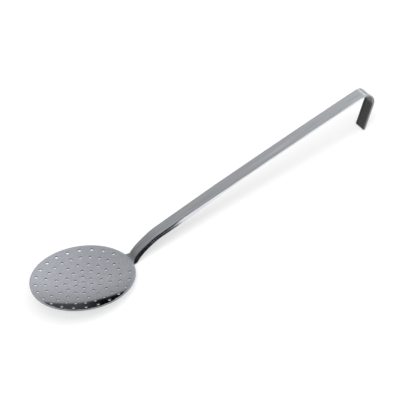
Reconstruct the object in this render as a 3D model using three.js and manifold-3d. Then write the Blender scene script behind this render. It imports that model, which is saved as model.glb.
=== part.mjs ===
// Kitchen skimmer: a shallow perforated dish on a pressed strap handle that ends in a hook.
// Millimetres, +Z up. The pieces are modelled with the dish's rim level in the plane Z = 0 and the
// handle along +X, and the whole skimmer is then laid down as it rests on a table.

import * as THREE from 'three';
import { mergeVertices } from 'three/addons/utils/BufferGeometryUtils.js';
import Module from 'manifold-3d';

const wasm = await Module();
wasm.setup();

const degrees = (angle) => THREE.MathUtils.degToRad(angle);

// Dish: a shallow spherical cap pressed from thin sheet
const DISH_DIAMETER = 120;
const DISH_DEPTH = 7.6;
const DISH_SHEET = 1.2;

// Perforations: one hole in the middle and five rings round it
const HOLE_DIAMETER = 3.5;
const HOLE_RINGS = [
  { radius: 0, count: 1 },
  { radius: 10.2, count: 6 },
  { radius: 20.5, count: 12 },
  { radius: 30.9, count: 16 },
  { radius: 42.4, count: 24 },
  { radius: 53.5, count: 24 },
];
const HOLE_START = degrees(7.5); // from the handle's line to the first hole of every ring
const RIM_LAND = 3; // least sheet between a hole and the rim
const TONGUE_LAND = 0.6; // least sheet between a hole and the handle's tongue

// Ear: the tab of the dish that runs up over the handle's neck
const EAR_LENGTH = 8; // past the root bend
const EAR_FILLET = 5;
const EAR_TIP = 0.5; // ground thin at its end

// Handle strap: thin sheet with its edges turned down, deepest at the neck
const STRAP_SHEET = 2.4;
const NECK_WIDTH = 12.5;
const HOOK_WIDTH = 17.4;
const WIDENING_RUN = 140; // along which the strap widens, from the root bend on
const NECK_DEPTH = 5.3;
const NECK_SPLAY = degrees(32); // that the turned edges lean outwards at the neck
const EDGE_RADIUS = 1.4; // of the turned edges, outside
const EDGE_LIP = 0.3; // that they stand below the web at the tongue and at the hook
const TONGUE_LENGTH = 11; // the end that lies under the dish, up to the root bend
const FLANGE_RISE = 10; // along which the turned edges deepen from the tongue to the neck
const FLANGE_HOLD = 52; // along which they keep that depth
const FLANGE_RUN = 115; // along which they run out again towards the hook
const SPLAY_RUN = 120; // along which they come upright from the neck on

// Handle line, from the tongue to the hook's tip
const ROOT_INSET = 2; // the root bend starts this far inside the rim
const ROOT_RADIUS = 12;
const NECK_SLOPE = degrees(46);
const NECK_RUN = 3;
const NECK_RADIUS = 76;
const STRAP_SLOPE = degrees(16.5); // at the neck
const STRAP_BOW = degrees(1.5); // that the strap bends down along its run
const STRAP_RUN = 282;
const HOOK_RADIUS = 12; // outside
const HOOK_TURN = degrees(130);
const HOOK_LEG = 33;

// Welds
const PLUG_DIAMETER = 4.4;
const PLUG_PITCH = 6;
const PLUG_END = 3.6; // from the tongue's end to the middle of the first plug
const BEAD_LENGTH = 2.4;
const BEAD_TIP = 0.2;

const FIT_GAP = 0.3; // between pieces that are welded together

const RIM_RADIUS = DISH_DIAMETER / 2;
const BOWL_RADIUS = (RIM_RADIUS ** 2 + DISH_DEPTH ** 2) / (2 * DISH_DEPTH); // of the dish's inner sphere
const BOWL_CENTRE = BOWL_RADIUS - DISH_DEPTH; // height of that sphere's middle over the rim
const UNDER_RADIUS = BOWL_RADIUS + DISH_SHEET; // of the dish's outer sphere
const SEAT_RADIUS = UNDER_RADIUS + FIT_GAP; // that the tongue's top follows

const steel = (name, color, roughness) =>
  new THREE.MeshStandardMaterial({ name, color, roughness, metalness: 1 });
const dishSteel = steel('satin_dish_steel', 0xa9adb1, 0.28);
const strapSteel = steel('brushed_strap_steel', 0xb0b2b6, 0.34);
const weldSteel = steel('ground_weld_steel', 0x9a9c9f, 0.45);

// A closed three.js geometry as a manifold-3d solid
function solid(geometry) {
  const bare = geometry.index ? geometry.toNonIndexed() : geometry.clone();
  bare.deleteAttribute('normal');
  bare.deleteAttribute('uv');
  const merged = mergeVertices(bare, 1e-4);
  return new wasm.Manifold(
    new wasm.Mesh({
      numProp: 3,
      vertProperties: new Float32Array(merged.attributes.position.array),
      triVerts: new Uint32Array(merged.index.array),
    }),
  );
}

// A manifold-3d solid as a named mesh
function piece(name, made, material) {
  const { vertProperties, triVerts } = made.getMesh();
  const geometry = new THREE.BufferGeometry();
  geometry.setAttribute('position', new THREE.BufferAttribute(vertProperties, 3));
  geometry.setIndex(new THREE.BufferAttribute(triVerts, 1));
  const mesh = new THREE.Mesh(geometry, material);
  mesh.name = name;
  return mesh;
}

// The handle's line in the XZ plane: stations with a place, a heading and the length so far.
// Lines and arcs are laid end to end; a positive turn bends upwards.
class Route {
  constructor(x, z, heading) {
    this.stations = [{ x, z, heading, along: 0 }];
  }

  get end() {
    return this.stations.at(-1);
  }

  line(length, steps = 1) {
    const from = this.end;
    for (let i = 1; i <= steps; i++) {
      const run = (length * i) / steps;
      this.stations.push({
        x: from.x + run * Math.cos(from.heading),
        z: from.z + run * Math.sin(from.heading),
        heading: from.heading,
        along: from.along + run,
      });
    }
    return this;
  }

  arc(radius, turn, steps) {
    const from = this.end;
    const side = Math.sign(turn);
    for (let i = 1; i <= steps; i++) {
      const heading = from.heading + (turn * i) / steps;
      this.stations.push({
        x: from.x + side * radius * (Math.sin(heading) - Math.sin(from.heading)),
        z: from.z - side * radius * (Math.cos(heading) - Math.cos(from.heading)),
        heading,
        along: from.along + (radius * Math.abs(turn) * i) / steps,
      });
    }
    return this;
  }
}

// A point beside a station: across is +Y, up is square to the line
const beside = ({ x, z, heading }, across, up) =>
  new THREE.Vector3(x - up * Math.sin(heading), across, z + up * Math.cos(heading));

// A solid whose outline changes from station to station, closed by flat ends.
// outline(station) gives the same number of [across, up] points, anticlockwise seen from the end.
function sweep(stations, outline) {
  const rings = stations.map((at) => outline(at).map(([across, up]) => beside(at, across, up)));
  const sides = rings[0].length;
  const positions = rings.flat().flatMap((p) => [p.x, p.y, p.z]);
  const flat = outline(stations[0]).map(([across, up]) => new THREE.Vector2(across, up));
  const cap = THREE.ShapeUtils.triangulateShape(flat, []);
  const last = (rings.length - 1) * sides;
  const faces = [];
  for (let i = 0; i < rings.length - 1; i++) {
    for (let j = 0; j < sides; j++) {
      const a = i * sides + j;
      const b = i * sides + ((j + 1) % sides);
      faces.push(a, b, b + sides, a, b + sides, a + sides);
    }
  }
  cap.forEach(([a, b, c]) => faces.push(a, c, b, last + a, last + b, last + c));
  const geometry = new THREE.BufferGeometry();
  geometry.setAttribute('position', new THREE.Float32BufferAttribute(positions, 3));
  geometry.setIndex(faces);
  const made = solid(geometry);
  return made.volume() < 0 ? solid(geometry.setIndex(faces.reverse())) : made;
}

// The handle's line, which is the strap's upper face
const rootX = RIM_RADIUS - ROOT_INSET;
const rootHeading = Math.asin(rootX / SEAT_RADIUS);
const tongueHeading = rootHeading - TONGUE_LENGTH / SEAT_RADIUS;
const handleLine = new Route(
  SEAT_RADIUS * Math.sin(tongueHeading),
  BOWL_CENTRE - SEAT_RADIUS * Math.cos(tongueHeading),
  tongueHeading,
);
handleLine.arc(SEAT_RADIUS, rootHeading - tongueHeading, 3);
const tongueStations = [...handleLine.stations];
const rootEnd = handleLine.end.along;
handleLine.arc(ROOT_RADIUS, NECK_SLOPE - rootHeading, 4);
handleLine.line(NECK_RUN, 3);
handleLine.arc(NECK_RADIUS, STRAP_SLOPE - NECK_SLOPE, 6);
handleLine.arc(STRAP_RUN / STRAP_BOW, -STRAP_BOW, 8);
handleLine.arc(HOOK_RADIUS, -HOOK_TURN, 9);
handleLine.line(HOOK_LEG);

// Width, depth and splay of the strap at a length along the handle's line
const { lerp, clamp } = THREE.MathUtils;
const share = (along, from, run) => clamp((along - from) / run, 0, 1);
const strapWidth = (along) => lerp(NECK_WIDTH, HOOK_WIDTH, share(along, rootEnd, WIDENING_RUN));
const neckStart = rootEnd + FLANGE_RISE;
const flangeRise = (along) => share(along, rootEnd, FLANGE_RISE);
const flangeFall = (along) => share(along, neckStart + FLANGE_HOLD, FLANGE_RUN);
const strapDepth = (along) =>
  lerp(STRAP_SHEET + EDGE_LIP, NECK_DEPTH, Math.min(flangeRise(along), 1 - flangeFall(along)));
const strapSplay = (along) =>
  NECK_SPLAY * Math.min(flangeRise(along), 1 - share(along, neckStart, SPLAY_RUN));

// Section of the strap: flat on top, rounded over the edges, hollow between the leaning turned edges
const EDGE_STEPS = 3;
function strapOutline(along) {
  const half = strapWidth(along) / 2;
  const depth = strapDepth(along);
  const radius = Math.min(EDGE_RADIUS, half / 2, depth / 2);
  const outside = (down) => half + Math.max(down - radius, 0) * Math.tan(strapSplay(along));
  const inside = (down) => outside(down) - STRAP_SHEET;
  const points = [[-outside(depth), -depth], [-inside(depth), -depth], [-inside(STRAP_SHEET), -STRAP_SHEET]];
  points.push([inside(STRAP_SHEET), -STRAP_SHEET], [inside(depth), -depth], [outside(depth), -depth]);
  for (const side of [1, -1]) {
    for (let i = 0; i <= EDGE_STEPS; i++) {
      const turn = (Math.PI / 2) * (side > 0 ? i : EDGE_STEPS - i) / EDGE_STEPS;
      points.push([side * (half - radius + radius * Math.cos(turn)), radius * (Math.sin(turn) - 1)]);
    }
  }
  return points;
}

// Perforated dish, with the ear that runs up over the neck
function dishShell() {
  const RADIAL_STEPS = 6;
  const profile = [];
  const rimTurn = Math.asin(RIM_RADIUS / BOWL_RADIUS);
  for (const [radius, from, to] of [[UNDER_RADIUS, 0, rimTurn], [BOWL_RADIUS, rimTurn, 0]]) {
    for (let i = 0; i <= RADIAL_STEPS; i++) {
      const turn = lerp(from, to, i / RADIAL_STEPS);
      const out = turn === 0 ? 0 : radius * Math.sin(turn);
      profile.push(new THREE.Vector2(out, BOWL_CENTRE - radius * Math.cos(turn)));
    }
  }
  const AROUND = 60;
  return solid(new THREE.LatheGeometry(profile, AROUND).rotateX(Math.PI / 2));
}

const earHalf = strapWidth(rootEnd) / 2;
const earTipAlong = rootEnd + EAR_LENGTH;

// A station at any length of the handle's line, between the laid ones
function stationAt(along) {
  const { stations } = handleLine;
  const next = Math.max(1, stations.findIndex((at) => at.along >= along - 1e-9));
  const [a, b] = [stations[next - 1], stations[next]];
  const part = share(along, a.along, b.along - a.along);
  return {
    x: lerp(a.x, b.x, part),
    z: lerp(a.z, b.z, part),
    heading: lerp(a.heading, b.heading, part),
    along,
  };
}

function stationsBetween(from, to) {
  const inside = handleLine.stations.filter(({ along }) => along > from + 1e-6 && along < to - 1e-6);
  return [stationAt(from), ...inside, stationAt(to)];
}

function earSheet() {
  const OVERLAP = 5; // that the ear shares with the dish's own sheet
  const SUNK = 0.08; // below the dish's faces there, so that the two join cleanly
  const wide = earHalf + 2 * EAR_FILLET;
  return sweep(stationsBetween(rootEnd - OVERLAP, earTipAlong), ({ along }) => {
    const low = FIT_GAP + (along < rootEnd ? SUNK : 0);
    const thick = lerp(DISH_SHEET - 2 * SUNK, EAR_TIP, share(along, rootEnd, earTipAlong - rootEnd));
    return [[-wide, low], [wide, low], [wide, low + thick], [-wide, low + thick]];
  });
}

// Seen from above, the ear leaves the round rim in two fillets
function earOutline() {
  const middleY = earHalf + EAR_FILLET;
  const middleX = Math.sqrt((RIM_RADIUS + EAR_FILLET) ** 2 - middleY ** 2);
  const rimTurn = Math.atan2(middleY, middleX);
  const inX = rootX - DISH_DEPTH;
  const endX = stationAt(earTipAlong).x + EAR_FILLET;
  const shape = new THREE.Shape();
  shape.moveTo(inX, -RIM_RADIUS * Math.sin(rimTurn));
  shape.lineTo(RIM_RADIUS * Math.cos(rimTurn), -RIM_RADIUS * Math.sin(rimTurn));
  shape.absarc(middleX, -middleY, EAR_FILLET, Math.PI - rimTurn, Math.PI / 2, true);
  shape.lineTo(endX, -earHalf);
  shape.lineTo(endX, earHalf);
  shape.absarc(middleX, middleY, EAR_FILLET, -Math.PI / 2, rimTurn - Math.PI, true);
  shape.lineTo(inX, RIM_RADIUS * Math.sin(rimTurn));
  const TALL = 4 * RIM_RADIUS;
  const prism = new THREE.ExtrudeGeometry(shape, { depth: TALL, bevelEnabled: false, curveSegments: 6 });
  return solid(prism.translate(0, 0, -TALL / 2));
}

// A hole is left out where the tongue lies under it or too little rim is left round it
function holePlaces() {
  const tongueX = tongueStations[0].x;
  const holeRadius = HOLE_DIAMETER / 2;
  const places = [];
  for (const { radius, count } of HOLE_RINGS) {
    if (radius + holeRadius + RIM_LAND > RIM_RADIUS) continue;
    for (let i = 0; i < count; i++) {
      const turn = HOLE_START + (2 * Math.PI * i) / count;
      const [x, y] = [radius * Math.cos(turn), radius * Math.sin(turn)];
      const reach = holeRadius + TONGUE_LAND;
      if (x > tongueX - reach && Math.abs(y) < earHalf + reach) continue;
      places.push({ x, y });
    }
  }
  return places;
}

function perforatedDish() {
  const HOLE_SIDES = 8;
  const tall = 4 * DISH_DEPTH + 4 * DISH_SHEET;
  const drill = new THREE.CylinderGeometry(HOLE_DIAMETER / 2, HOLE_DIAMETER / 2, tall, HOLE_SIDES);
  drill.rotateX(Math.PI / 2);
  const hole = solid(drill);
  const holes = holePlaces().map(({ x, y }) => hole.translate(x, y, 0));
  const ear = earSheet().intersect(earOutline());
  return dishShell().add(ear).subtract(wasm.Manifold.union(holes));
}

// Plug welds stand in holes of the tongue, square to the dish over them
const plugStations = [0, 1].map((i) => stationAt(PLUG_END + PLUG_PITCH * i));

function plug(at, diameter, top, bottom) {
  const PLUG_SIDES = 16;
  const geometry = new THREE.CylinderGeometry(diameter / 2, diameter / 2, top - bottom, PLUG_SIDES);
  geometry.rotateX(Math.PI / 2).translate(0, 0, (top + bottom) / 2).rotateY(-at.heading);
  return solid(geometry.translate(at.x, 0, at.z));
}

// Handle strap: tongue, neck, strap and hook in one pressed strip
function handleStrap() {
  const strip = sweep(handleLine.stations, ({ along }) => strapOutline(along));
  const drills = plugStations.map((at) =>
    plug(at, PLUG_DIAMETER + 2 * FIT_GAP, STRAP_SHEET, -2 * STRAP_SHEET));
  return strip.subtract(wasm.Manifold.union(drills));
}

// Seam weld: a low ground bead that closes the ear's end onto the strap
function seamBead() {
  const from = earTipAlong + FIT_GAP;
  const half = earHalf - EDGE_RADIUS;
  return sweep(stationsBetween(from, from + BEAD_LENGTH), ({ along }) => {
    const high = FIT_GAP + lerp(EAR_TIP, BEAD_TIP, share(along, from, BEAD_LENGTH));
    return [[-half, FIT_GAP], [half, FIT_GAP], [half, high], [-half, high]];
  });
}

const skimmer = new THREE.Group();
skimmer.name = 'skimmer';
const asModelled = new THREE.Group();
skimmer.add(asModelled);
asModelled.add(piece('perforated_dish', perforatedDish(), dishSteel));
asModelled.add(piece('handle_strap', handleStrap(), strapSteel));
asModelled.add(piece('ear_seam_weld', seamBead(), weldSteel));
['inner', 'outer'].forEach((place, i) => {
  const weld = plug(plugStations[i], PLUG_DIAMETER, 0, -STRAP_SHEET);
  asModelled.add(piece(`plug_weld_${place}`, weld, weldSteel));
});

// Lying on a table, the skimmer stands on the underside of the dish and the hook's tip: on the
// lower edge of its side outline that spans the middle of its length
function restTilt(group) {
  const points = [];
  group.children.forEach(({ geometry }) => {
    const { array } = geometry.attributes.position;
    for (let i = 0; i < array.length; i += 3) points.push([array[i], array[i + 2]]);
  });
  points.sort((a, b) => a[0] - b[0] || a[1] - b[1]);
  const lower = [];
  for (const p of points) {
    while (lower.length > 1) {
      const [a, b] = lower.slice(-2);
      if ((b[0] - a[0]) * (p[1] - a[1]) > (b[1] - a[1]) * (p[0] - a[0])) break;
      lower.pop();
    }
    lower.push(p);
  }
  const middle = (points[0][0] + points.at(-1)[0]) / 2;
  const far = lower.findIndex(([x]) => x > middle);
  const [a, b] = [lower[far - 1], lower[far]];
  return Math.atan2(b[1] - a[1], b[0] - a[0]);
}

asModelled.rotation.y = restTilt(asModelled);
skimmer.updateMatrixWorld(true);
const box = new THREE.Box3().setFromObject(skimmer, true);
asModelled.position.set(-(box.min.x + box.max.x) / 2, 0, -box.min.z);

export default skimmer;
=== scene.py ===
"""Looks of a perforated kitchen skimmer: satin dish, brushed strap handle and hook, lying on a pale table.

Every piece is worked out in millimetres with the dish's rim level (the skimmer's own frame: X along the
handle, Y across it, Z up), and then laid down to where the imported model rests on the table.
"""

import bpy
import numpy as np
from mathutils import Matrix, Vector


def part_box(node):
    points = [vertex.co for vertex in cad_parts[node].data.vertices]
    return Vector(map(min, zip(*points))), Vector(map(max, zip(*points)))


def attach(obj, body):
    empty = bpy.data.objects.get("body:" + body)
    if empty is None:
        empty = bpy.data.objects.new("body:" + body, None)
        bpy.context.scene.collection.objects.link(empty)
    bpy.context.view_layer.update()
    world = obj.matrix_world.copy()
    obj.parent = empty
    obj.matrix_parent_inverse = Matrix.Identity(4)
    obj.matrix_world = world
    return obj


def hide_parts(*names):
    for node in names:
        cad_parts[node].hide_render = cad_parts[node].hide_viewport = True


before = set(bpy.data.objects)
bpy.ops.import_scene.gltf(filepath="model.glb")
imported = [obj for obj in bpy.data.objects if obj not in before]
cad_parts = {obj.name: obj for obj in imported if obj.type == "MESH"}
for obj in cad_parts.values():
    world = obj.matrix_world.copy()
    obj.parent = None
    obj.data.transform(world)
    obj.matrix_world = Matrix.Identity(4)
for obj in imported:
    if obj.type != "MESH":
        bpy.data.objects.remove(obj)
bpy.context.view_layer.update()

MM = 0.001
BODY = "root"

# Dish
RIM_RADIUS = 60.0
DISH_DEPTH = 7.6
DISH_SHEET = 1.2
RIM_ROUND = 0.2
HOLE_RADIUS = 1.75
HOLE_ROUND = 0.12
HOLE_RINGS = ((10.2, 6), (20.5, 12), (30.9, 16), (42.4, 24), (53.5, 24))  # radius, holes
HOLE_START = np.radians(7.5)

# Ear of the dish over the neck
EAR_HALF_TURN = np.radians(9.375)  # of the rim that the ear takes up, to each side
EAR_LENGTH = 8.0  # past the root bend
EAR_TIP = 0.3  # sheet left at its ground end

# Handle strap
STRAP_SHEET = 2.4
NECK_WIDTH = 12.5
HOOK_WIDTH = 17.4
WIDENING_RUN = 140.0  # from the root bend on
NECK_DEPTH = 5.3
NECK_SPLAY = np.radians(32.0)
EDGE_LIP = 0.3
CORNER_RADIUS = 1.3  # at the neck
STRAP_CORNER = 0.9
HOOK_CORNER = 0.6
TONGUE_LENGTH = 11.0
FLANGE_RISE = 10.0  # from the root bend to the neck's start
FLANGE_HOLD = 52.0
FLANGE_RUN = 115.0
SPLAY_RUN = 120.0
ROOT_INSET = 2.0
ROOT_RADIUS = 12.0
NECK_SLOPE = np.radians(46.0)
NECK_RUN = 3.0
NECK_RADIUS = 76.0
STRAP_SLOPE = np.radians(16.5)
STRAP_BOW = np.radians(1.5)
STRAP_RUN = 282.0
HOOK_RADIUS = 12.0
HOOK_TURN = np.radians(130.0)
HOOK_LEG = 33.0
PLUG_RADIUS = 2.2
PLUG_PLACES = (3.6, 9.6)  # along the tongue
FIT_GAP = 0.3

BOWL_RADIUS = (RIM_RADIUS**2 + DISH_DEPTH**2) / (2 * DISH_DEPTH)
BOWL_CENTRE = BOWL_RADIUS - DISH_DEPTH
SEAT_RADIUS = BOWL_RADIUS + DISH_SHEET + FIT_GAP


def smooth_step(value, start, stop):
    """0 before start, 1 after stop, and an even S between them."""
    part = np.clip((np.asarray(value, float) - start) / (stop - start), 0, 1)
    return part * part * (3 - 2 * part)


def unit(vectors):
    """Vectors made one long."""
    return vectors / np.linalg.norm(vectors, axis=-1, keepdims=True)


def running_sum(steps):
    """Sums of the steps so far, from nothing to all of them."""
    return np.concatenate(((0.0,), np.cumsum(steps)))


# The handle's line

ROOT_X = RIM_RADIUS - ROOT_INSET
ROOT_HEADING = np.arcsin(ROOT_X / SEAT_RADIUS)
TONGUE_HEADING = ROOT_HEADING - TONGUE_LENGTH / SEAT_RADIUS
RUNS = np.array((  # length, and turn over it
    (TONGUE_LENGTH, ROOT_HEADING - TONGUE_HEADING),
    (ROOT_RADIUS * (NECK_SLOPE - ROOT_HEADING), NECK_SLOPE - ROOT_HEADING),
    (NECK_RUN, 0.0),
    (NECK_RADIUS * (NECK_SLOPE - STRAP_SLOPE), STRAP_SLOPE - NECK_SLOPE),
    (STRAP_RUN, -STRAP_BOW),
    (HOOK_RADIUS * HOOK_TURN, -HOOK_TURN),
    (HOOK_LEG, 0.0),
))
RUN_ENDS = running_sum(RUNS[:, 0])
RUN_HEADINGS = TONGUE_HEADING + running_sum(RUNS[:, 1])
ROOT_END, NECK_END, HOOK_START, LEG_START, LINE_END = RUN_ENDS[[1, 4, 5, 6, 7]]
NECK_START = ROOT_END + FLANGE_RISE
EAR_END = ROOT_END + EAR_LENGTH

FINE_POINTS = 20001
FINE = np.linspace(0, LINE_END, FINE_POINTS)
FINE_STEP = FINE[1]
FINE_HEADING = np.interp(FINE, RUN_ENDS, RUN_HEADINGS)
FINE_MIDDLE = (FINE_HEADING[1:] + FINE_HEADING[:-1]) / 2
FINE_X = SEAT_RADIUS * np.sin(TONGUE_HEADING) + running_sum(np.cos(FINE_MIDDLE) * FINE_STEP)
FINE_Z = BOWL_CENTRE - SEAT_RADIUS * np.cos(TONGUE_HEADING) + running_sum(np.sin(FINE_MIDDLE) * FINE_STEP)


def line_at(along):
    """X, Z and heading of the handle's line: bends and straights laid end to end, in fine steps."""
    return tuple(np.interp(along, FINE, values) for values in (FINE_X, FINE_Z, FINE_HEADING))


def beside_line(along, across, up):
    """Points across (Y) and up (square to the line) from the handle's line."""
    x, z, heading = line_at(along)
    return np.stack(np.broadcast_arrays(x - up * np.sin(heading), across, z + up * np.cos(heading)), -1)


def between_rows(along, table):
    """The value at a length along the handle, on straight lines between a table's places and values."""
    return np.interp(along, table[:, 0], table[:, 1])


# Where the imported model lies: the tongue's lower corner and the hook's tip touch the table

tongue_corner = beside_line(0.0, 0.0, -(STRAP_SHEET + EDGE_LIP))
hook_tip = beside_line(LINE_END, 0.0, 0.0)
REST_TILT = np.arctan2(hook_tip[2] - tongue_corner[2], hook_tip[0] - tongue_corner[0])
REST_TURN = np.array((
    (np.cos(REST_TILT), 0, np.sin(REST_TILT)),
    (0, 1, 0),
    (-np.sin(REST_TILT), 0, np.cos(REST_TILT)),
))
strap_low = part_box("handle_strap")[0]
tongue_ends = np.stack((tongue_corner, beside_line(0.0, 0.0, 0.0))) @ REST_TURN.T
REST_SHIFT = np.array((strap_low.x / MM - tongue_ends[:, 0].min(), 0, -tongue_ends[0, 2]))


def laid_down(points):
    """Points of the skimmer's own frame, in millimetres, turned and moved onto the table, in metres."""
    return (points @ REST_TURN.T + REST_SHIFT) * MM


# Putting arrays into meshes

def grid_faces(rows, columns, closed=False):
    """Quads of a rows by columns grid of points, joined round at the last column if closed."""
    row = np.arange(rows - 1)[:, None]
    column = np.arange(columns if closed else columns - 1)[None, :]
    a = row * columns + column
    b = row * columns + (column + 1) % columns
    return np.stack((a, b, b + columns, a + columns), -1).reshape(-1, 4)


def tube_faces(rings, sides):
    """Faces of closed rings joined one to the next, with the first and the last ring filled."""
    first = np.arange(sides)
    last = first[::-1] + (rings - 1) * sides
    return grid_faces(rings, sides, closed=True)[:, ::-1].tolist() + [first.tolist(), last.tolist()]


def welded(points, faces, marks):
    """Points that share a place made one, with their faces renumbered and flat faces dropped."""
    tolerance, offset = 0.002, 0.00077  # the offset keeps round sizes off the border between two places
    keys = np.round((points + offset) / tolerance).astype(np.int64)
    _, first, back = np.unique(keys, axis=0, return_index=True, return_inverse=True)
    faces = back.reshape(-1)[faces]
    whole = (np.diff(np.sort(faces, axis=1), axis=1) > 0).all(axis=1)
    return points[first], faces[whole], {name: value[first] for name, value in marks.items()}


def new_object(name, data):
    """An object that shows the data, placed in the scene."""
    made = bpy.data.objects.new(name, data)
    bpy.context.collection.objects.link(made)
    return made


def mesh_piece(name, node, slot, points, faces, marks, material):
    """A smooth mesh in the row's frame that stands for a CAD node; marks are values at its points."""
    mesh = bpy.data.meshes.new(name)
    mesh.from_pydata(laid_down(points).tolist(), [], faces)
    mesh.polygons.foreach_set("use_smooth", np.ones(len(mesh.polygons), bool))
    for mark, values in marks.items():
        kind, field = ("FLOAT_VECTOR", "vector") if values.ndim > 1 else ("FLOAT", "value")
        mesh.attributes.new(mark, kind, "POINT").data.foreach_set(field, values.astype(np.float32).ravel())
    mesh.materials.append(material)
    mesh.validate()
    mesh.update()
    piece = new_object(name, mesh)
    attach(piece, BODY)
    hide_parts(node)


# Dish

AROUND = 192  # points round every ring, so that the cells of all rings meet point to point
CELL_SIDE = 5  # steps along a cell's straight sides
BARE_HALF_TURN = np.radians(15.0)  # of the outer ring by the neck, which has no holes
RIM_START = RIM_RADIUS - RIM_ROUND
EAR_COLUMNS = 2 * round(AROUND * EAR_HALF_TURN / (2 * np.pi)) + 1  # as many as the rim has there
RING_RADII = np.array([radius for radius, _ in HOLE_RINGS])
RING_EDGES = np.concatenate(((RING_RADII[0] / 2,), (RING_RADII[1:] + RING_RADII[:-1]) / 2, (RIM_START,)))
DULL_UNDER = 0.3  # how far the dish's underside is left unpolished


def bowl_height(x, y):
    """Height of the dish's inner sphere."""
    return BOWL_CENTRE - np.sqrt(BOWL_RADIUS**2 - x**2 - y**2)


# From a cell's border over the sheet's face, down through the hole and back under the sheet:
# share of the way from hole to border, step out from the hole's wall, depth, and how raw the steel is.
# The raw walls get a near-black colour, which is painted shade.
HOLE_PROFILE = np.array((
    (1.0, 0.0, 0.0, 0.0),
    (0.6, 0.0, 0.0, 0.0),
    (0.25, 0.0, 0.0, 0.0),
    (0.0, 3 * HOLE_ROUND, 0.0, 0.0),
    (0.0, HOLE_ROUND, 0.0, 0.1),
    (0.0, 0.3 * HOLE_ROUND, 0.3 * HOLE_ROUND, 0.6),
    (0.0, 0.0, HOLE_ROUND, 1.0),
    (0.0, 0.0, DISH_SHEET - HOLE_ROUND, 1.0),
    (0.0, 0.3 * HOLE_ROUND, DISH_SHEET - 0.3 * HOLE_ROUND, 1.0),
    (0.0, HOLE_ROUND, DISH_SHEET, DULL_UNDER),
    (0.4, 0.0, DISH_SHEET, DULL_UNDER),
    (1.0, 0.0, DISH_SHEET, DULL_UNDER),
))


def cell_border(inner, outer, count):
    """Radius and turn round one hole's cell, anticlockwise: outer arc, side, inner arc, side."""
    half = np.pi / count
    arc = np.linspace(-half, half, AROUND // count + 1)
    side = np.linspace(outer, inner, CELL_SIDE + 1)
    outer_arc = np.full(len(arc) - 1, outer)
    inner_arc = np.full(len(arc) - 1, inner)
    radius = np.concatenate((outer_arc, side[:-1], inner_arc, side[:0:-1]))
    turn = np.concatenate((arc[:-1], np.full(CELL_SIDE, half), arc[:0:-1], np.full(CELL_SIDE, -half)))
    return radius, turn


def punched_cells(radius, turns, border_radius, border_turn):
    """Cells with a round hole: each border is drawn in towards its hole, and then follows its profile."""
    around = turns[:, None] + border_turn
    border = np.stack((border_radius * np.cos(around), border_radius * np.sin(around)), -1)
    middle = (radius * np.stack((np.cos(turns), np.sin(turns)), -1))[:, None]
    share, out, depth, raw = (HOLE_PROFILE[:, i][None, :, None] for i in range(4))
    near = middle[:, None] + unit(border - middle)[:, None] * (HOLE_RADIUS + out)[..., None]
    flat = near + (border[:, None] - near) * share[..., None]
    height = bowl_height(flat[..., 0], flat[..., 1]) - depth
    points = np.concatenate((flat, height[..., None]), -1)
    steps, sides = height.shape[1:]
    offsets = np.arange(len(turns))[:, None, None] * steps * sides
    faces = grid_faces(steps, sides, closed=True) + offsets
    raw = np.broadcast_to(raw, height.shape)
    return points.reshape(-1, 3), faces.reshape(-1, 4), raw.reshape(-1)


def neck_cells(inner):
    """The sheet by the neck, with no holes: a plain piece of the ring, over and under."""
    columns = 2 * round(AROUND * BARE_HALF_TURN / (2 * np.pi)) + 1
    turn = np.linspace(-BARE_HALF_TURN, BARE_HALF_TURN, columns)
    radius = np.linspace(inner, RIM_START, CELL_SIDE + 1)
    radius, turn = np.meshgrid(radius, turn, indexing="ij")
    x, y = radius * np.cos(turn), radius * np.sin(turn)
    top = np.stack((x, y, bowl_height(x, y)), -1).reshape(-1, 3)
    faces = grid_faces(CELL_SIDE + 1, columns)
    under = top - (0, 0, DISH_SHEET)
    raw = np.repeat((0.0, DULL_UNDER), len(top))
    return np.concatenate((top, under)), np.concatenate((faces[:, ::-1], faces + len(top))), raw


# Round the sheet's cut edge, from over to under: step out, depth, and how raw the steel is
EDGE_PROFILE = np.array((
    (0.0, 0.0, 0.0),
    (0.4 * RIM_ROUND, 0.08 * RIM_ROUND, 0.1),
    (0.7 * RIM_ROUND, 0.3 * RIM_ROUND, 0.5),
    (RIM_ROUND, RIM_ROUND, 0.8),
    (RIM_ROUND, DISH_SHEET - RIM_ROUND, 0.8),
    (0.7 * RIM_ROUND, DISH_SHEET - 0.3 * RIM_ROUND, 0.8),
    (0.4 * RIM_ROUND, DISH_SHEET - 0.08 * RIM_ROUND, 0.5),
    (0.0, DISH_SHEET, DULL_UNDER),
))
EDGE_DOWN = EDGE_PROFILE[1:-1]  # between the upper and the lower face
EDGE_UP = EDGE_DOWN[::-1]
EDGE_POINTS = len(EDGE_DOWN)


def rim_edge():
    """The rounded edge carried round the rim, outside the ear."""
    steps = round(EAR_HALF_TURN / (2 * np.pi / AROUND))
    turn = np.linspace(EAR_HALF_TURN, 2 * np.pi - EAR_HALF_TURN, AROUND - 2 * steps + 1)
    out, depth, raw = (EDGE_PROFILE[:, i:i + 1] for i in range(3))
    x, y = (RIM_START + out) * np.cos(turn), (RIM_START + out) * np.sin(turn)
    height = np.broadcast_to(bowl_height(RIM_START, 0) - depth, x.shape)
    points = np.stack((x, y, height), -1).reshape(-1, 3)
    faces = grid_faces(len(EDGE_PROFILE), len(turn))[:, ::-1]
    return points, faces, np.broadcast_to(raw, x.shape).reshape(-1)


# Strap section

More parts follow.
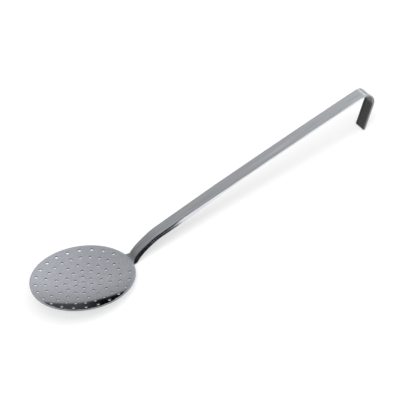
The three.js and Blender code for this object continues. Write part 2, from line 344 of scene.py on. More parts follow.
DEEPEN_FROM, DEEPEN_TO = ROOT_END - 3, ROOT_END + 5  # along which the turned edges deepen
RUN_OUT_FROM = NECK_START + FLANGE_HOLD  # along which they run out again
RUN_OUT_TO = RUN_OUT_FROM + FLANGE_RUN
SETTLE_RUN = 26.0  # past the ear, along which the strap's face comes down to the handle's line
HOOK_INSET = 0.12  # that the round bend is set in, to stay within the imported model's flats
HOOK_INSET_RUN = 10.0  # before the bend, along which it is set in

# Lean of the turned edges: place along the handle, and share of the neck's lean
LEAN_TABLE = np.array((
    (ROOT_END - 8, 0.0),
    (ROOT_END - 3, 1.0),
    (NECK_START + 18, 0.78),
    (NECK_START + 24, 0.72),
    (NECK_START + 57, 0.65),
    (NECK_START + SPLAY_RUN, 0.0),
))

# Rounding over the turned edges: place along the handle, and radius
CORNER_TABLE = np.array((
    (EAR_END, CORNER_RADIUS),
    (NECK_END + 40, STRAP_CORNER),
    (NECK_END + 130, STRAP_CORNER),
    (HOOK_START, HOOK_CORNER),
))


def strap_width(along):
    """Even widening from the root bend on, and then the same width as far as the hook's tip."""
    return np.interp(along, (ROOT_END, ROOT_END + WIDENING_RUN), (NECK_WIDTH, HOOK_WIDTH))


def strap_depth(along):
    """Depth of the turned edges: they deepen from the tongue to the neck and run out towards the hook."""
    rise = smooth_step(along, DEEPEN_FROM, DEEPEN_TO)
    fall = smooth_step(along, RUN_OUT_FROM, RUN_OUT_TO)
    edge_depth = STRAP_SHEET + EDGE_LIP
    return edge_depth + (NECK_DEPTH - edge_depth) * np.minimum(rise, 1 - fall)


def strap_splay(along):
    """How far the turned edges lean outwards: most by the rim, and then less and less until upright."""
    return NECK_SPLAY * between_rows(along, LEAN_TABLE)


def corner_radius(along):
    """Rounding over the turned edges: fullest at the neck, and tighter towards the hook."""
    return between_rows(along, CORNER_TABLE)


def skin_up(along):
    """Height of the strap's face over the handle's line.

    It is level with the ear's face at the ear's end, comes down onto the line, and is set in at the hook.
    """
    hook = HOOK_INSET * smooth_step(along, HOOK_START - HOOK_INSET_RUN, HOOK_START)
    return (DISH_SHEET + FIT_GAP) * (1 - smooth_step(along, EAR_END, EAR_END + SETTLE_RUN)) - hook


FLANK_STEPS, CORNER_STEPS, TOP_STEPS = 4, 7, 9
LEAST_FLANK = 0.05


def channel_curve(half, top, depth, splay, radius):
    """Across and up of an arch: up one flank, round the corner, over the top and down the other side.

    half is half the width at the corners, depth is from the top to the flanks' lower edges, and the
    flanks lean out by splay.
    """
    sizes = (half, top, depth, splay, radius)
    half, top, depth, splay, radius = (np.asarray(size, float)[..., None] for size in sizes)
    turn = np.linspace(0, 1, CORNER_STEPS) * (np.pi / 2 - splay)
    middle = half - radius * np.tan((np.pi / 2 - splay) / 2)
    corner_across = middle + radius * np.sin(turn)
    corner_up = top - radius + radius * np.cos(turn)
    last_across, last_up = corner_across[..., -1:], corner_up[..., -1:]
    flank = np.maximum(last_up - (top - depth), LEAST_FLANK)
    drop = flank * np.linspace(0, 1, FLANK_STEPS + 1)[1:]
    side_across = np.concatenate((corner_across, last_across + drop * np.tan(splay)), -1)
    side_up = np.concatenate((corner_up, last_up - drop), -1)
    across_top = middle * np.linspace(-1, 1, TOP_STEPS)[1:-1]
    up_top = np.broadcast_to(top, across_top.shape)
    across = np.concatenate((-side_across[..., ::-1], across_top, side_across), -1)
    up = np.concatenate((side_up[..., ::-1], up_top, side_up), -1)
    return across, up


# Ear

EAR_ROWS = 15
EAR_SET_IN = 0.5  # of its end from the strap's sides, so that it lies on the flat top
LEAVE_PULL, ARRIVE_PULL = 0.35, 0.9  # of the ear's curves, in chords
TURNED_IN = 0.1  # how far its outermost columns leave along the rim
TILT_END = 0.4  # share of its length along which its sheet's depth turns from upright to square
EDGE_TURN_END = 0.3  # share along which its edges turn from the rim's direction to its own
GROUND_FROM = 0.5  # share from which it is ground thinner


def ear_surface():
    """The ear's upper face: each column runs from the rim to the strap's flat top on a cubic curve.

    The columns leave along the dish's slope, the outer ones turned in a little along the rim, and all
    arrive along the neck, so that the outline runs into the neck in two fillets.
    """
    side = np.linspace(-1, 1, EAR_COLUMNS)
    turn = side * EAR_HALF_TURN
    level = np.full_like(turn, bowl_height(RIM_START, 0))
    start = np.stack((RIM_START * np.cos(turn), RIM_START * np.sin(turn), level), -1)
    end = beside_line(EAR_END, side * (strap_width(EAR_END) / 2 - EAR_SET_IN), skin_up(EAR_END))
    slope = np.arcsin(RIM_START / BOWL_RADIUS)
    rise = np.full_like(turn, np.sin(slope))
    out = np.stack((np.cos(turn) * np.cos(slope), np.sin(turn) * np.cos(slope), rise), -1)
    along_rim = np.stack((np.abs(np.sin(turn)), -np.sign(side) * np.cos(turn), 0 * turn), -1)
    turned_in = TURNED_IN * (np.abs(side) ** 3)[:, None]
    leave = unit(out * (1 - turned_in) + along_rim * turned_in)
    heading = line_at(EAR_END)[2]
    arrive = np.array((np.cos(heading), 0, np.sin(heading)))
    chord = np.linalg.norm(end - start, axis=-1, keepdims=True)
    u = np.linspace(0, 1, EAR_ROWS)[:, None, None]
    return ((2 * u**3 - 3 * u**2 + 1) * start + (u**3 - 2 * u**2 + u) * leave * chord * LEAVE_PULL
            + (3 * u**2 - 2 * u**3) * end + (u**3 - u**2) * arrive * chord * ARRIVE_PULL)


def ear_end_faces(count):
    """Faces that close the ear's last ring of count points: across the sheet, and at both rounded edges."""
    column = np.arange(EAR_COLUMNS - 1)
    below = 2 * EAR_COLUMNS + EDGE_POINTS - 1 - column
    sheet = np.stack((column, column + 1, below - 1, below), -1)
    step = np.arange(EDGE_POINTS // 2)
    edge = np.stack((step, step + 1, EDGE_POINTS - step, EDGE_POINTS + 1 - step), -1)
    one_edge = EAR_COLUMNS - 1 + edge
    other_edge = (2 * EAR_COLUMNS + EDGE_POINTS - 1 + edge) % count
    return (EAR_ROWS - 1) * count + np.concatenate((sheet, one_edge, other_edge))


def ear_ring():
    """Closed rings round the ear's sheet: its upper face, one edge, its lower face and the other edge."""
    top = ear_surface()
    side = unit(np.gradient(top, axis=1))
    normal = unit(np.cross(np.gradient(top, axis=0), side))
    u = np.linspace(0, 1, EAR_ROWS)[:, None, None]
    upright = np.array((0, 0, 1.0))
    normal = unit(upright + (normal - upright) * smooth_step(u, 0, TILT_END))
    thick = np.interp(u, (GROUND_FROM, 1), (DISH_SHEET, EAR_TIP))
    share = thick / DISH_SHEET
    edges = []
    for column, sign, profile in ((-1, 1.0, EDGE_DOWN), (0, -1.0, EDGE_UP)):
        radial = np.array((np.cos(EAR_HALF_TURN), sign * np.sin(EAR_HALF_TURN), 0))
        out = unit(radial + (side[:, column] * sign - radial) * smooth_step(u[:, 0], 0, EDGE_TURN_END))
        edges.append(top[:, column, None] + out[:, None] * profile[:, :1] * share
                     - normal[:, column, None] * profile[:, 1:2] * share)
    under = top - normal * thick
    rings = np.concatenate((top, edges[0], under[:, ::-1], edges[1]), 1)
    count = rings.shape[1]
    faces = np.concatenate((grid_faces(EAR_ROWS, count, closed=True), ear_end_faces(count)))[:, ::-1]
    dull = np.full(EAR_COLUMNS, DULL_UNDER)
    raw = np.concatenate((np.zeros(EAR_COLUMNS), EDGE_DOWN[:, 2], dull, EDGE_UP[:, 2]))
    return rings.reshape(-1, 3), faces, np.tile(raw, EAR_ROWS)


def perforated_dish():
    """All cells, the rim's edge and the ear, joined where they meet."""
    border = np.linspace(0, 2 * np.pi, AROUND, endpoint=False)
    parts = [punched_cells(0.0, np.zeros(1), np.full(AROUND, RING_EDGES[0]), border)]
    for (radius, count), inner, outer in zip(HOLE_RINGS, RING_EDGES[:-1], RING_EDGES[1:]):
        turns = HOLE_START + np.arange(count) * 2 * np.pi / count
        if outer == RIM_START:
            turns = turns[np.cos(turns) < np.cos(BARE_HALF_TURN)]
        parts.append(punched_cells(radius, turns, *cell_border(inner, outer, count)))
    parts += [neck_cells(RING_EDGES[-2]), rim_edge(), ear_ring()]
    starts = running_sum([len(part[0]) for part in parts[:-1]]).astype(int)
    points = np.concatenate([part[0] for part in parts])
    faces = np.concatenate([part[1] + start for part, start in zip(parts, starts)])
    raw = np.concatenate([part[2] for part in parts])
    points, faces, marks = welded(points, faces, {"raw": raw, "place": points * MM})
    marks["edge"] = np.zeros(len(points))
    return points, faces.tolist(), marks


# Handle strap

LOWER_ROUND = 0.3  # rounding of the turned edges' lower rims
INNER_ROUND = 1.0  # most rounding of the hollow's corners
INNER_SHARE = 0.8  # and the share of the hollow's depth that it takes at most
TIP_LENGTH = 3.0  # along which the hook's end is rounded off
TIP_ROUND = 0.9  # that it narrows by there, to each side
TIP_BLUNT = 0.98  # how near the end comes to a full quarter circle
RUBBED_EASE = 6.0  # before and after the start of the bright turned edges, along which they begin
SHEEN_PAINTED_FROM = NECK_END + 40  # from here the face grows brighter towards the hook: painted sheen
SHEEN_PAINTED_SHARE = 0.9  # of a bright edge's mark, given to the face by the hook as painted sheen
HOOKED_FROM, HOOKED_TO = HOOK_START - 4, HOOK_START + 8  # along which bright edges give way to raw ones, which are painted darker as shade
HOOK_SIDE_RAW_AND_SHADE = 0.7  # how raw the hook's edges are: unpolished, and darkened as painted shade

# How far the strap's top is set down under the ear: place along the handle, and depth
UNDER_EAR_TABLE = np.array((
    (EAR_END - 5.5, DISH_SHEET + 0.25),
    (EAR_END - 0.3, EAR_TIP + 0.15),
    (EAR_END, 0.0),
))

# Stretches of the handle: start, end and stations, close together in the bends and at the ear's end
STRETCHES = (
    (0.0, EAR_END - 1.5, 24),
    (EAR_END - 1.5, EAR_END + 0.5, 7),
    (EAR_END + 0.5, NECK_END, 40),
    (NECK_END, HOOK_START, 70),
    (HOOK_START, LEG_START, 40),
    (LEG_START, LINE_END - TIP_LENGTH, 14),
)
TIP_STATIONS = 9


def strap_stations():
    """Lengths along the handle: even on each stretch, and closer and closer towards the tip."""
    tip = LINE_END - TIP_LENGTH * (1 - np.linspace(0, 1, TIP_STATIONS)) ** 2
    return np.unique(np.concatenate([np.linspace(*stretch) for stretch in STRETCHES] + [tip]))


def lower_rim(outer, inner):
    """Points round a turned edge's lower rim, from the outer to the inner flank: both corners rounded."""
    inward = unit(inner - outer)
    lift = np.array((0.0, LOWER_ROUND))
    middle = 0.3  # of a rounding, in radii from both its faces
    return np.stack((
        outer + lift,
        outer + middle * (inward * LOWER_ROUND + lift),
        outer + inward * LOWER_ROUND,
        inner - inward * LOWER_ROUND,
        inner + middle * (lift - inward * LOWER_ROUND),
        inner + lift / 2,
    ), 1)


def strap_section(along):
    """Across and up round the strap's closed section at each length: outer arch, rim, hollow, rim.

    Also gives how many points the outer arch and one rim have.
    """
    inset = between_rows(along, UNDER_EAR_TABLE)
    tip = np.clip((along - (LINE_END - TIP_LENGTH)) / TIP_LENGTH, 0, 1)
    narrowing = TIP_ROUND * (1 - np.sqrt(1 - TIP_BLUNT * tip**2))
    top, splay = skin_up(along) - inset, strap_splay(along)
    half = strap_width(along) / 2 - narrowing + inset * np.tan(splay)
    depth = np.maximum(strap_depth(along) - inset, STRAP_SHEET + EDGE_LIP)
    radius = np.maximum(corner_radius(along) - inset, HOOK_CORNER)
    lip = depth - STRAP_SHEET
    inner_half = half - STRAP_SHEET / np.cos(splay)
    inner_radius = np.minimum(INNER_SHARE * lip, INNER_ROUND)
    outer = np.stack(channel_curve(half, top, depth, splay, radius), -1)
    inner = np.stack(channel_curve(inner_half, top - STRAP_SHEET, lip, splay, inner_radius), -1)
    near = lower_rim(outer[:, -1], inner[:, -1])
    far = lower_rim(outer[:, 0], inner[:, 0])
    arch = outer[:, 1:-1]
    section = np.concatenate((arch, near, inner[:, -2:0:-1], far[:, ::-1]), 1)
    return section, arch.shape[1], near.shape[1]


def strap_marks(along, section, arch, rim):
    """The strap's marks: bright turned edges and a painted sheen on the far half, raw hollow and hook sides
    that are also painted dark as shade, place.

    The place is the length along the handle and the girth so far round the section, so that the grain
    runs along the strap on all its faces.
    """
    count = section.shape[1]
    index = np.arange(count)
    # The hollow is marked raw: unpolished, and painted near black as shade and dark reflection
    under = ((index >= arch + rim // 2) & (index < count - rim // 2)).astype(float)
    from_middle = np.abs(index - (arch - 1) / 2)
    side = (from_middle > (TOP_STEPS - 2) / 2 + CORNER_STEPS - 1) & (under == 0)
    hooked = smooth_step(along, HOOKED_FROM, HOOKED_TO)[:, None]
    begun = smooth_step(along, RUN_OUT_FROM - RUBBED_EASE, RUN_OUT_FROM + RUBBED_EASE)[:, None]
    # painted sheen: the strap's face by the hook is made brighter, as if lit more
    painted_sheen = SHEEN_PAINTED_SHARE * smooth_step(along, SHEEN_PAINTED_FROM, HOOK_START)[:, None]
    steps = np.linalg.norm(np.diff(section, axis=1), axis=-1)
    girth = np.cumsum(np.pad(steps, ((0, 0), (1, 0))), axis=1)
    lengths = np.broadcast_to(along[:, None], girth.shape)
    place = np.stack((lengths, girth, np.zeros_like(girth)), -1) * MM
    return {
        # the bright-edge mark also carries the painted sheen on the face
        "edge": np.where(side, begun * (1 - hooked), painted_sheen).reshape(-1),
        "raw": np.maximum(under, HOOK_SIDE_RAW_AND_SHADE * side * hooked).reshape(-1),
        "place": place.reshape(-1, 3),
    }


def handle_strap():
    """The closed section carried along the handle's line, with both ends filled."""
    along = strap_stations()
    section, arch, rim = strap_section(along)
    points = beside_line(along[:, None], section[..., 0], section[..., 1]).reshape(-1, 3)
    return points, tube_faces(*section.shape[:2]), strap_marks(along, section, arch, rim)


# Welds

BEAD_HALF = 1.1  # along the strap
BEAD_PAST = 0.2  # of its middle past the ear's end
BEAD_LIFT = 0.02  # left standing by the grinding
BEAD_ENDS = 0.05  # share of that at its two ends
BEAD_SIDES = 12
PLUG_SIDES = 40

# Round a plug weld, from its flat top to the ringed dome below: share of its radius, and height
PLUG_PROFILE = np.array((
    (0.9, 0.0), (1.0, -0.1), (1.0, -2.1), (0.97, -2.35), (0.88, -2.5), (0.72, -2.56),
    (0.5, -2.54), (0.28, -2.6), (0.12, -2.58),
))


def plain_marks(points):
    """The marks of a piece that has no raw faces or rubbed edges."""
    return {"edge": np.zeros(len(points)), "raw": np.zeros(len(points)), "place": points * MM}


def seam_weld():
    """A low bead over the ear's end: a flat lens carried across the strap, running out at both ends."""
    sizes = (strap_width(EAR_END) / 2, skin_up(EAR_END), strap_depth(EAR_END))
    across, up = channel_curve(*sizes, strap_splay(EAR_END), corner_radius(EAR_END))
    corner_end = FLANK_STEPS + CORNER_STEPS - 1
    across, up = across[corner_end:-corner_end], up[corner_end:-corner_end]
    turn = np.linspace(0, 2 * np.pi, BEAD_SIDES, endpoint=False)
    length = EAR_END + BEAD_PAST + BEAD_HALF * np.cos(turn)
    swell = 1 + BEAD_ENDS - np.linspace(-1, 1, len(across)) ** 4
    raised = BEAD_LIFT * np.sin(turn)[None, :] * swell[:, None]
    slope = unit(np.stack((np.gradient(across), np.gradient(up)), -1))
    points = beside_line(
        length[None, :],
        across[:, None] - slope[:, 1:] * raised,
        up[:, None] + slope[:, :1] * raised,
    ).reshape(-1, 3)
    return points, tube_faces(len(across), BEAD_SIDES), plain_marks(points)


def plug_weld(along):
    """A plug turned about a line square to the tongue: flat on top, a low ringed dome below."""
    out, up = PLUG_PROFILE[:, :1] * PLUG_RADIUS, PLUG_PROFILE[:, 1:]
    turn = np.linspace(0, 2 * np.pi, PLUG_SIDES, endpoint=False)
    x, z, heading = line_at(along)
    run, across = out * np.cos(turn), out * np.sin(turn)
    points = np.stack((
        x + run * np.cos(heading) - up * np.sin(heading),
        across,
        z + run * np.sin(heading) + up * np.cos(heading),
    ), -1).reshape(-1, 3)
    return points, tube_faces(*run.shape), plain_marks(points)


# Materials

def bare_tree(owner):
    """The node tree of a material or a world, emptied."""
    owner.use_nodes = True
    owner.node_tree.nodes.clear()
    return owner.node_tree


def node_group(name, inputs, outputs):
    """An empty shader node group with named sockets."""
    group = bpy.data.node_groups.new(name, "ShaderNodeTree")
    for label, kind, value in inputs:
        socket = group.interface.new_socket(label, in_out="INPUT", socket_type=kind)
        if value is not None:
            socket.default_value = value
    for label, kind in outputs:
        group.interface.new_socket(label, in_out="OUTPUT", socket_type=kind)
    return group, group.nodes.new("NodeGroupInput").outputs, group.nodes.new("NodeGroupOutput").inputs


def add(tree, kind, inputs=None, **settings):
    """A node with its properties set, and its inputs given by socket name or number, as values or links."""
    node = tree.nodes.new(kind)
    for key, value in settings.items():
        setattr(node, key, value)
    for key, value in (inputs or {}).items():
        if isinstance(value, bpy.types.NodeSocket):
            tree.links.new(value, node.inputs[key])
        else:
            node.inputs[key].default_value = value
    return node


def use_group(tree, group, inputs):
    """A shader node group placed in a tree: its outputs."""
    return add(tree, "ShaderNodeGroup", inputs, node_tree=group).outputs


def attribute(tree, name, output):
    """A mark of the mesh, read by a material."""
    return add(tree, "ShaderNodeAttribute", attribute_name=name).outputs[output]


def math(tree, operation, *values):
    """A Math node's result."""
    return add(tree, "ShaderNodeMath", dict(enumerate(values)), operation=operation).outputs[0]


def scaled(tree, vector, by):
    """A vector times three factors."""
    return add(tree, "ShaderNodeVectorMath", {0: vector, 1: by}, operation="MULTIPLY").outputs[0]


def remap(tree, value, start, stop, low, high, smooth=False):
    """A value taken from start..stop to low..high, and held at the ends."""
    kind = "SMOOTHSTEP" if smooth else "LINEAR"
    inputs = dict(enumerate((value, start, stop, low, high)))
    return add(tree, "ShaderNodeMapRange", inputs, clamp=True, interpolation_type=kind).outputs[0]


def mix_color(tree, share, first, second):
    """Two colours mixed by a share."""
    return add(tree, "ShaderNodeMix", {0: share, 6: first, 7: second}, data_type="RGBA").outputs[2]


def mix_value(tree, share, first, second):
    """Two values mixed by a share."""
    return add(tree, "ShaderNodeMix", {0: share, 2: first, 3: second}, data_type="FLOAT").outputs[0]


def noise(tree, vector, scale, detail, roughness=0.5):
    """Noise from 0 to 1 at a scale per metre."""
    inputs = {"Vector": vector, "Scale": scale, "Detail": detail, "Roughness": roughness}
    return add(tree, "ShaderNodeTexNoise", inputs).outputs[0]


PER_METRE = 1000.0  # of what is given per millimetre
UPRIGHT_LINES = 7000.0  # per metre of height
WIDE_LINES = (0.4, 0.22, 1.0)  # of the finer lines' scale
WIDE_SHARE = 0.4
SCRATCH_SETS = ((0.5, (30.0, 900.0, 60.0)), (-0.9, (45.0, 1100.0, 60.0)))  # turn, and scale per metre
SCRATCH_RANGE = (0.68, 0.76)  # of the noise, from no scratch to a full one
CLOUD_SCALE = 38.0
BREAK_SCALE = 900.0
BREAK_RANGE = (0.3, 0.6, 0.9, 1.0)  # of the noise, and the share of a mark that it leaves
EDGE_AND_SHEEN_GAIN = 1.22  # of a rubbed edge's brightness, and of the painted sheen on the strap's face
EDGE_ROUGHNESS = 0.16
RAW_ROUGHNESS = 0.42


def make_brushed_grain():
    """Fine lines along one direction: noise squeezed across the grain, in two sizes."""
    group, given, out = node_group(
        "brushed_grain",
        (("Place", "NodeSocketVector", None), ("Lines per mm", "NodeSocketFloat", 4.0),
         ("Line length mm", "NodeSocketFloat", 30.0)),
        (("Grain", "NodeSocketFloat"),),
    )
    split = add(group, "ShaderNodeSeparateXYZ", {0: given["Place"]}).outputs
    along_scale = math(group, "DIVIDE", PER_METRE, given["Line length mm"])
    across_scale = math(group, "MULTIPLY", given["Lines per mm"], PER_METRE)
    fine = add(group, "ShaderNodeCombineXYZ", {
        0: math(group, "MULTIPLY", split[0], along_scale),
        1: math(group, "MULTIPLY", split[1], across_scale),
        2: math(group, "MULTIPLY", split[2], UPRIGHT_LINES),
    }).outputs[0]
    fine_lines = noise(group, fine, scale=1.0, detail=3.0)
    wide_lines = noise(group, scaled(group, fine, WIDE_LINES), scale=1.0, detail=2.0)
    grain = mix_value(group, WIDE_SHARE, fine_lines, wide_lines)
    group.links.new(grain, out["Grain"])
    return group


def make_use_marks():
    """Sparse hairline scratches in two directions, and cloudy wipe marks."""
    group, given, out = node_group(
        "use_marks",
        (("Place", "NodeSocketVector", None), ("Scratch amount", "NodeSocketFloat", 0.5)),
        (("Scratches", "NodeSocketFloat"), ("Cloud", "NodeSocketFloat")),
    )
    place = given["Place"]
    masks = []
    for turn, scale in SCRATCH_SETS:
        turning = {"Vector": place, "Angle": turn}
        turned = add(group, "ShaderNodeVectorRotate", turning, rotation_type="Z_AXIS").outputs[0]
        lines = noise(group, scaled(group, turned, scale), scale=1.0, detail=1.0)
        masks.append(remap(group, lines, *SCRATCH_RANGE, 0.0, 1.0))
    scratches = math(group, "MULTIPLY", math(group, "MAXIMUM", *masks), given["Scratch amount"])
    group.links.new(scratches, out["Scratches"])
    cloud = noise(group, place, CLOUD_SCALE, detail=4.0, roughness=0.6)
    group.links.new(cloud, out["Cloud"])
    return group


def make_worn_and_painted_faces():
    """Faces left raw by the press are darker and rougher, and rubbed edges brighter and smoother.

    The raw faces' near-black colour is also painted shade, and the bright mark also paints a sheen on the
    strap's face by the hook. Both marks are broken up a little by a fine noise.
    """
    group, given, out = node_group(
        "worn_and_painted_faces",
        (("Edge and sheen", "NodeSocketFloat", 0.0), ("Raw", "NodeSocketFloat", 0.0),
         ("Place", "NodeSocketVector", None), ("Color", "NodeSocketColor", None),
         ("Unpolished and shade color", "NodeSocketColor", None), ("Roughness", "NodeSocketFloat", 0.2)),
        (("Color", "NodeSocketColor"), ("Roughness", "NodeSocketFloat")),
    )
    broken = remap(group, noise(group, given["Place"], BREAK_SCALE, detail=2.0), *BREAK_RANGE)
    edge = math(group, "MULTIPLY", given["Edge and sheen"], broken)
    raw = math(group, "MULTIPLY", given["Raw"], broken)
    # brighter rubbed edges, and the painted sheen on the strap's face
    gain = {0: given["Color"], "Scale": EDGE_AND_SHEEN_GAIN}
    brighter = add(group, "ShaderNodeVectorMath", gain, operation="SCALE").outputs[0]
    color = mix_color(group, edge, given["Color"], brighter)
    # dark raw faces, whose near-black colour is partly painted shade
    color = mix_color(group, raw, color, given["Unpolished and shade color"])
    rough = mix_value(group, edge, given["Roughness"], EDGE_ROUGHNESS)
    rough = mix_value(group, raw, rough, RAW_ROUGHNESS)
    group.links.new(color, out["Color"])
    group.links.new(rough, out["Roughness"])
    return group


BRUSHED_GRAIN = make_brushed_grain()
USE_MARKS = make_use_marks()
WORN_AND_PAINTED_FACES = make_worn_and_painted_faces()
NOISE_RANGE = (0.3, 0.7)  # that most of a noise lies in
SCRATCH_ROUGHNESS = 0.1  # that a scratch adds
SCRATCH_DEPTH = 0.6  # of a scratch against the grain's relief
RELIEF_HEIGHT = 0.00004
STEEL_IOR = 2.5


def steel(name, color, shade, raw_and_shade_color, rough, lines, line_length, grain_depth, scratches):
    """Stainless steel: two close tones along its grain, hairline scratches, wiped clouds, worn faces, painted
    shade and painted sheen.

    color and shade are the light and dark tone of the grain, the raw colour that of its unpolished faces,
    near black so that it also paints their shade, and rough the roughness of its smooth and its wiped places.
    lines are per millimetre, and line_length is in millimetres.
    """
    material = bpy.data.materials.new(name)
    tree = bare_tree(material)
    place = attribute(tree, "place", "Vector")
    grain = use_group(tree, BRUSHED_GRAIN, {
        "Place": place,
        "Lines per mm": lines,
        "Line length mm": line_length,
    })["Grain"]
    marks = use_group(tree, USE_MARKS, {"Place": place, "Scratch amount": scratches})
    tone = remap(tree, grain, *NOISE_RANGE, 0.0, 1.0)
    wiped = remap(tree, marks["Cloud"], *NOISE_RANGE, *rough)
    scratch_rough = math(tree, "MULTIPLY", marks["Scratches"], SCRATCH_ROUGHNESS)
    # worn faces, with painted shade on raw faces and painted sheen on the strap's face
    worn_and_painted = use_group(tree, WORN_AND_PAINTED_FACES, {
        "Edge and sheen": attribute(tree, "edge", "Fac"),
        "Raw": attribute(tree, "raw", "Fac"),
        "Place": place,
        "Color": mix_color(tree, tone, shade, color),
        "Unpolished and shade color": raw_and_shade_color,
        "Roughness": math(tree, "ADD", wiped, scratch_rough),
    })
    scratch_relief = math(tree, "MULTIPLY", marks["Scratches"], SCRATCH_DEPTH)
    relief = math(tree, "SUBTRACT", grain, scratch_relief)
    bump = add(tree, "ShaderNodeBump", {"Strength": grain_depth, "Distance": RELIEF_HEIGHT, "Height": relief})
    bsdf = add(tree, "ShaderNodeBsdfPrincipled", {
        "Metallic": 1.0,
        "IOR": STEEL_IOR,
        "Base Color": worn_and_painted["Color"],
        "Roughness": worn_and_painted["Roughness"],
        "Normal": bump.outputs[0],
    })
    add(tree, "ShaderNodeOutputMaterial", {"Surface": bsdf.outputs[0]})
    return material


# Each raw colour below is near black: painted shade on the raw faces, such as hole walls, the strap's hollow
# and the hook's sides
dish_steel = steel(
    "satin_dish_steel",
    color=(0.66, 0.68, 0.73, 1), shade=(0.45, 0.47, 0.52, 1), raw_and_shade_color=(0.12, 0.12, 0.125, 1),
    rough=(0.05, 0.08), lines=0.6, line_length=2.2, grain_depth=0.1, scratches=0.4,
)
strap_steel = steel(
    "brushed_strap_steel",
    color=(0.68, 0.70, 0.735, 1), shade=(0.46, 0.475, 0.50, 1), raw_and_shade_color=(0.14, 0.14, 0.14, 1),
    rough=(0.13, 0.19), lines=0.8, line_length=40.0, grain_depth=0.1, scratches=0.4,
)
weld_steel = steel(
    "ground_weld_steel",
    color=(0.60, 0.62, 0.65, 1), shade=(0.52, 0.535, 0.56, 1), raw_and_shade_color=(0.14, 0.14, 0.14, 1),
    rough=(0.16, 0.24), lines=5.0, line_length=6.0, grain_depth=0.3, scratches=0.3,
)


# Pieces

mesh_piece("dish", "perforated_dish", "satin_dish_steel", *perforated_dish(), dish_steel)
mesh_piece("strap", "handle_strap", "brushed_strap_steel", *handle_strap(), strap_steel)
mesh_piece("seam_bead", "ear_seam_weld", "ground_weld_steel", *seam_weld(), weld_steel)
for which, along in zip(("inner", "outer"), PLUG_PLACES):
    mesh_piece(f"plug_{which}", f"plug_weld_{which}", "ground_weld_steel", *plug_weld(along), weld_steel)


# Table, light and camera

WHITE = (1, 1, 1, 1)
TABLE_REACH = 5.0
TABLE_COLOR = (0.92, 0.92, 0.92, 1)
TABLE_GLOW = 0.48  # share of what is seen of the table that is plain white, whatever its shadow


def pale_table():
    """A wide matt white plane: part of what is seen of it is plain white, and the rest keeps the shadow."""
    mesh = bpy.data.meshes.new("table")
    corners = np.array(((-1, -1, 0), (1, -1, 0), (1, 1, 0), (-1, 1, 0))) * TABLE_REACH
    mesh.from_pydata(corners.tolist(), [], [(0, 1, 2, 3)])
    table = new_object("table", mesh)
    material = bpy.data.materials.new("pale_table")
    tree = bare_tree(material)
    path = add(tree, "ShaderNodeLightPath").outputs
    mirrored = math(tree, "MAXIMUM", path["Is Glossy Ray"], path["Is Transmission Ray"])
    seen = math(tree, "MAXIMUM", path["Is Camera Ray"], mirrored)
    share = math(tree, "MULTIPLY", seen, TABLE_GLOW)
    matt = add(tree, "ShaderNodeBsdfDiffuse", {"Color": TABLE_COLOR})
    white = add(tree, "ShaderNodeEmission", {"Color": WHITE, "Strength": 1.0})
    surface = add(tree, "ShaderNodeMixShader", {0: share, 1: matt.outputs[0], 2: white.outputs[0]})
    add(tree, "ShaderNodeOutputMaterial", {"Surface": surface.outputs[0]})
    mesh.materials.append(material)


# The room by a direction's X (to the right), Y (away from the camera) and Z (up): from, to, and the
# values there
LEFT_LEVEL = (-0.6, 0.0, 0.26, 0.48)  # by X
RIGHT_GAIN = (0.0, 0.8, 0.0, 0.36)  # by X, added
LOW_SHARE = (0.2, 0.5, 0.62, 1.0)  # by Z, of the level
BAND_TOP = (0.2, 0.42, 0.285, 0.225)  # by X
BAND_LEVEL = (0.34, 0.42, 0.004, 0.08)  # by X
BAND_EDGE = (-0.015, 0.025, 0.0, 1.0)  # by Z over the band's top
NEAR_SIDE = (0.1, -0.15, 0.0, 1.0)  # by Y
SCREEN_MIDDLE = -0.12
SCREEN_SIDE = (0.42, 0.55, 1.0, 0.0)  # by X from the screen's middle
SCREEN_TOP = (0.36, 0.5, 1.0, 0.0)  # by Z
SCREEN_LEVEL = 0.01


def studio_world():
    """A plain grey room, brighter to the right, with a dark band along the floor line behind the skimmer.

    The band's edge is a little higher to the left, and the band is darkest there. A low dark screen
    stands on the camera's side.
    """
    world = bpy.data.worlds.new("studio")
    bpy.context.scene.world = world
    tree = bare_tree(world)
    direction = add(tree, "ShaderNodeTexCoord").outputs["Generated"]
    x, y, z = add(tree, "ShaderNodeSeparateXYZ", {0: direction}).outputs
    level = math(tree, "ADD", remap(tree, x, *LEFT_LEVEL), remap(tree, x, *RIGHT_GAIN))
    level = math(tree, "MULTIPLY", level, remap(tree, z, *LOW_SHARE))
    near_side = remap(tree, y, *NEAR_SIDE, smooth=True)
    over_top = math(tree, "SUBTRACT", z, remap(tree, x, *BAND_TOP))
    over_band = remap(tree, over_top, *BAND_EDGE, smooth=True)
    clear_of_band = math(tree, "MAXIMUM", over_band, near_side)
    room = mix_value(tree, clear_of_band, remap(tree, x, *BAND_LEVEL), level)
    off_screen = math(tree, "ABSOLUTE", math(tree, "SUBTRACT", x, SCREEN_MIDDLE))
    screen = math(tree, "MULTIPLY", near_side, remap(tree, off_screen, *SCREEN_SIDE, smooth=True))
    screen = math(tree, "MULTIPLY", screen, remap(tree, z, *SCREEN_TOP, smooth=True))
    strength = mix_value(tree, screen, room, SCREEN_LEVEL)
    glow = add(tree, "ShaderNodeBackground", {"Color": WHITE, "Strength": strength})
    add(tree, "ShaderNodeOutputWorld", {"Surface": glow.outputs[0]})


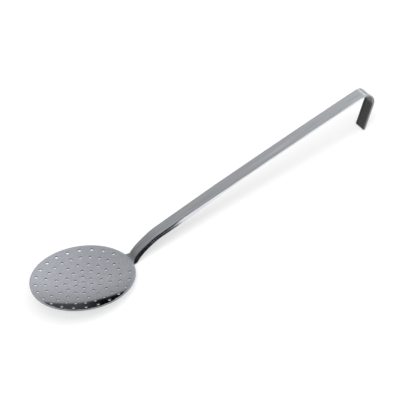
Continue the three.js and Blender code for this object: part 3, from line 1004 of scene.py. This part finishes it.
FRONT_ENERGY = 3.2
FRONT_ANGLE = np.radians(90)
FRONT_HEADING = (0.18, 0.57, -0.80)
PANEL_SIZE = (0.6, 0.8)
PANEL_ENERGY = 0.35
PANEL_AT = (1.0, 0.7, 0.42)


def facing(direction):
    """The turn of a lamp that shines in a direction."""
    return Vector(direction).to_track_quat("-Z", "Y").to_euler()


def front_light():
    """Even light from the camera's side, so that shadows fall behind; the steel doesn't mirror the lamp."""
    lamp = bpy.data.lights.new("front_light", "SUN")
    lamp.energy = FRONT_ENERGY
    lamp.angle = FRONT_ANGLE
    holder = new_object("front_light", lamp)
    holder.rotation_euler = facing(FRONT_HEADING)
    holder.visible_glossy = False


def side_panel():
    """A soft panel to the right and behind, which the hook's bend mirrors."""
    lamp = bpy.data.lights.new("side_panel", "AREA")
    lamp.shape = "RECTANGLE"
    lamp.size, lamp.size_y = PANEL_SIZE
    lamp.energy = PANEL_ENERGY
    holder = new_object("side_panel", lamp)
    holder.location = PANEL_AT
    holder.rotation_euler = facing(-holder.location)


CAMERA_AT = (-820.72, -2102.41, 1677.64)  # in the skimmer's own frame
CAMERA_AIM = (138.59, -35.27, 68.05)
CAMERA_ROLL = np.radians(-6.58)
CAMERA_LENS = 225.7
CAMERA_REACH = 50
SENSOR = 36.0


def photo_camera():
    """A long lens at the photograph's place, rolled about its own axis and laid down with the skimmer."""
    data = bpy.data.cameras.new("camera")
    data.lens = CAMERA_LENS
    data.sensor_width = SENSOR
    data.clip_end = CAMERA_REACH
    camera = new_object("camera", data)
    level = (Vector(CAMERA_AIM) - Vector(CAMERA_AT)).to_track_quat("-Z", "Y").to_matrix()
    turn = Matrix(REST_TURN.tolist()) @ level @ Matrix.Rotation(CAMERA_ROLL, 3, "Z")
    camera.matrix_world = Matrix.Translation(Vector(laid_down(np.array(CAMERA_AT)))) @ turn.to_4x4()
    bpy.context.scene.camera = camera


pale_table()
studio_world()
front_light()
side_panel()
photo_camera()
bpy.context.scene.view_settings.view_transform = "Standard"
